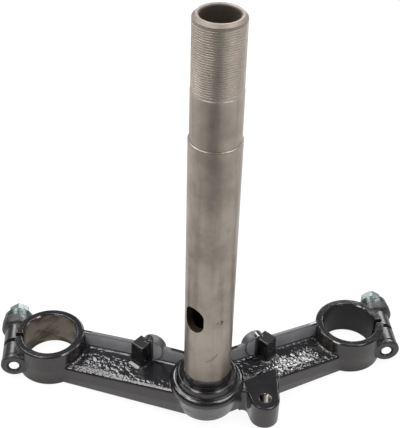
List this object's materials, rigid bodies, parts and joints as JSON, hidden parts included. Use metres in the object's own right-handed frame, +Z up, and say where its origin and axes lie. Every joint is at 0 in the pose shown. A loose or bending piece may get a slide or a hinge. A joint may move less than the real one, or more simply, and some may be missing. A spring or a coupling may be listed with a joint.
{
  "type": "motorcycle lower triple clamp",
  "caption": "Cast lower yoke of a motorcycle front fork with split clamping rings, pinch bolts, guide pegs, a mounting tab and a pressed-in hollow steering stem.",
  "frame": {"origin": "on the steering axis, at the top of the boss collar that the lower steering bearing rests on", "axes": "+Z up along the steering stem, +Y forwards, towards the bridge wall and the bolt heads, +X towards the side with the mounting tab"},
  "size_m": [0.2568, 0.1, 0.2621],
  "materials": {
    "black_casting": "gloss black paint over a rough casting",
    "bare_steel": "turned, dull with age",
    "zinc_steel": "bright zinc plate",
    "zinc_washer": "bright zinc plate"
  },
  "bodies": {
    "root": {"lower_yoke": "black_casting", "steering_stem": "bare_steel", "pinch_bolt_left": "zinc_steel", "pinch_bolt_right": "zinc_steel", "pinch_washer_left": "zinc_washer", "pinch_washer_right": "zinc_washer"}
  },
  "joints": []
}
